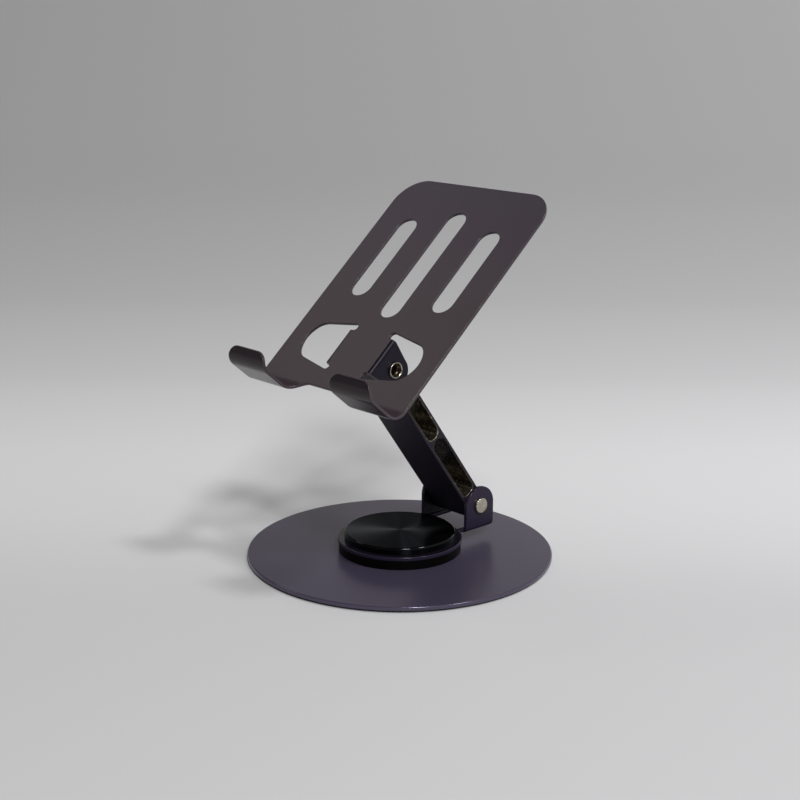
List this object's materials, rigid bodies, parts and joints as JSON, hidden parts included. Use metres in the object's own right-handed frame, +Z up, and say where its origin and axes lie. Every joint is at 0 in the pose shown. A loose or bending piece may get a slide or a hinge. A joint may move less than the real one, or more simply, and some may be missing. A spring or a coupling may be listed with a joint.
{
  "type": "phone stand",
  "caption": "Folding desk phone stand: a slotted hooked tray on a hinged arm, carried by a turntable on a round flat base.",
  "frame": {"origin": "middle of the round base, on the desk surface it stands on", "axes": "+Z up, +X to the right of someone facing the tray from behind the stand's front, -Y towards the user and the tray's hooks"},
  "size_m": [0.11, 0.11, 0.1298],
  "materials": {
    "base_paint": "satin purple-grey powder coat",
    "tray_paint": "satin brownish purple metallic coat",
    "arm_paint": "satin dark purple coat",
    "bracket_paint": "satin dark purple-grey powder coat",
    "cap_black": "gloss black with a spun pattern",
    "ring_black": "moulded black",
    "nylon": "natural nylon",
    "nickel": "nickel plate",
    "steel": "zinc plate",
    "foam": "double-sided foam",
    "pad_rubber": "matt non-slip"
  },
  "bodies": {
    "base": {"base_pad": "pad_rubber", "base_plate": "base_paint", "bearing_ring": "ring_black", "swivel_stud": "steel", "slide_washer": "steel", "wave_washer": "steel"},
    "turntable": {"swivel_bracket": "bracket_paint", "hub_cap": "cap_black", "cap_foam_ring": "foam", "lower_rivet": "nickel"},
    "arm": {"arm": "arm_paint", "lower_bush_left": "nylon", "lower_bush_right": "nylon", "upper_bush_left": "nylon", "upper_bush_right": "nylon"},
    "tray": {"tray": "tray_paint", "upper_rivet": "nickel"}
  },
  "joints": [
    {"name": "base_swivel", "type": "hinge", "parent": "base", "child": "turntable", "pos_m": [0, 0, 0.0063], "axis": [0, 0, 1], "continuous": true},
    {"name": "lower_hinge", "type": "hinge", "parent": "turntable", "child": "arm", "pos_m": [0, 0.0292, 0.0149], "axis": [-1, 0, 0], "range_deg": [-36, 36.3]},
    {"name": "upper_hinge", "type": "hinge", "parent": "arm", "child": "tray", "pos_m": [0, -0.01354, 0.07309], "axis": [1, 0, 0], "range_deg": [-93, 85]}
  ]
}
